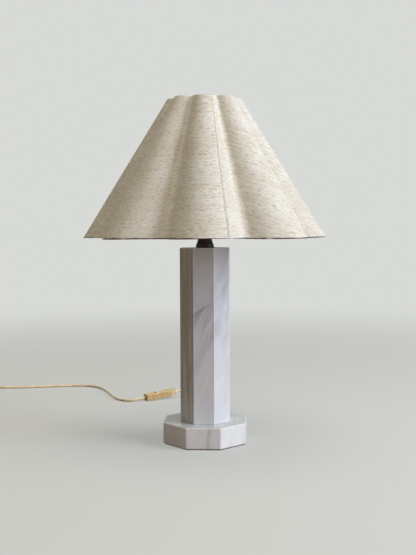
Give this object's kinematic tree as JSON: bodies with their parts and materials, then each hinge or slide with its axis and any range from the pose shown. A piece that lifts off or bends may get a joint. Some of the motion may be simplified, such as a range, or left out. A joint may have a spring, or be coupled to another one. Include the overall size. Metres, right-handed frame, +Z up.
{
  "type": "table lamp",
  "caption": "Table lamp with an octagonal marble column and base, a dark turned collar, a wide lobed linen shade, and a flex with an inline rocker switch.",
  "frame": {"origin": "middle of the underside of the felt pad, on the column's axis", "axes": "+Z up along the column; -Y towards the camera; the flex leaves the base towards +Y"},
  "size_m": [0.7955, 0.6954, 0.5695],
  "materials": {
    "felt": "matt felt",
    "marble": "polished, pale grey with soft diagonal veins",
    "steel": "zinc plated",
    "bush_plastic": "smooth",
    "dark_bronze": "dark bronze, satin",
    "ceramic": "unglazed",
    "brass": "drawn sheet",
    "nickel": "nickel plated",
    "black_glass": "vitrified",
    "opal_glass": "opal",
    "clear_glass": "clear",
    "filament": "drawn wire",
    "linen": "natural slubbed linen",
    "lining": "white lining",
    "white_wire": "white powder coat",
    "flex": "glossy gold flex",
    "core_brown": "smooth",
    "core_blue": "smooth",
    "switch_gold": "moulded gold plastic",
    "switch_cream": "moulded cream plastic",
    "plug_gold": "moulded gold plastic",
    "tie": "covered wire"
  },
  "bodies": {
    "root": {"blue_core": "core_blue", "brown_core": "core_brown", "centre_contact": "brass", "coil_tie": "tie", "contact_bridge": "brass", "cord_bush": "bush_plastic", "cord_coil": "flex", "cord_from_switch": "flex", "cord_to_switch": "flex", "felt_pad": "felt", "holder_cap": "dark_bronze", "holder_insert": "ceramic", "holder_sleeve": "dark_bronze", "internal_lead": "flex", "lower_shade_ring": "dark_bronze", "marble_base": "marble", "marble_column": "marble", "plug_body": "plug_gold", "plug_pins": "nickel", "plug_relief": "plug_gold", "plug_tail": "flex", "rocker_pin": "steel", "rod_nut": "steel", "rod_washer": "steel", "stepped_collar": "dark_bronze", "switch_back_half": "switch_gold", "switch_contacts": "brass", "switch_end_cap": "switch_cream", "switch_front_half": "switch_gold", "switch_screws": "steel", "terminal_screws": "brass", "thread_shell": "brass", "threaded_rod": "steel", "upper_shade_ring": "dark_bronze"},
    "shade": {"shade_cover_right": "linen", "shade_cover_left": "linen", "shade_lining": "lining", "shade_bottom_wire": "white_wire", "shade_top_wire": "white_wire", "shade_ribs": "white_wire", "fitter_ring": "white_wire", "spider_arms": "white_wire"},
    "bulb_contact": {"bulb_tip": "brass"},
    "bulb": {"bulb_insulator": "black_glass", "bulb_cap": "nickel", "bulb_glass": "opal_glass", "bulb_stem": "clear_glass", "bulb_filament": "filament"},
    "rocker": {"switch_rocker": "switch_cream"}
  },
  "joints": [
    {"name": "shade_turn", "type": "hinge", "parent": "root", "child": "shade", "pos_m": [0, 0, 0.38425], "axis": [0, 0, 1], "continuous": true},
    {"name": "bulb_lift", "type": "slide", "parent": "root", "child": "bulb_contact", "axis": [0, 0, 1], "range_m": [0, 0.0108]},
    {"name": "bulb_turn", "type": "hinge", "parent": "bulb_contact", "child": "bulb", "pos_m": [0, 0, 0.37915], "axis": [0, 0, 1], "range_deg": [0, 1080]},
    {"name": "rocker_tilt", "type": "hinge", "parent": "root", "child": "rocker", "pos_m": [-0.11927, 0.34828, 0.01279], "axis": [-0.5446, 0.8387, 0], "range_deg": [-16, 0]}
  ],
  "couplings": [
    {"joint": "bulb_lift", "follows": "bulb_turn", "m_per_rad": 0.00057296}
  ]
}
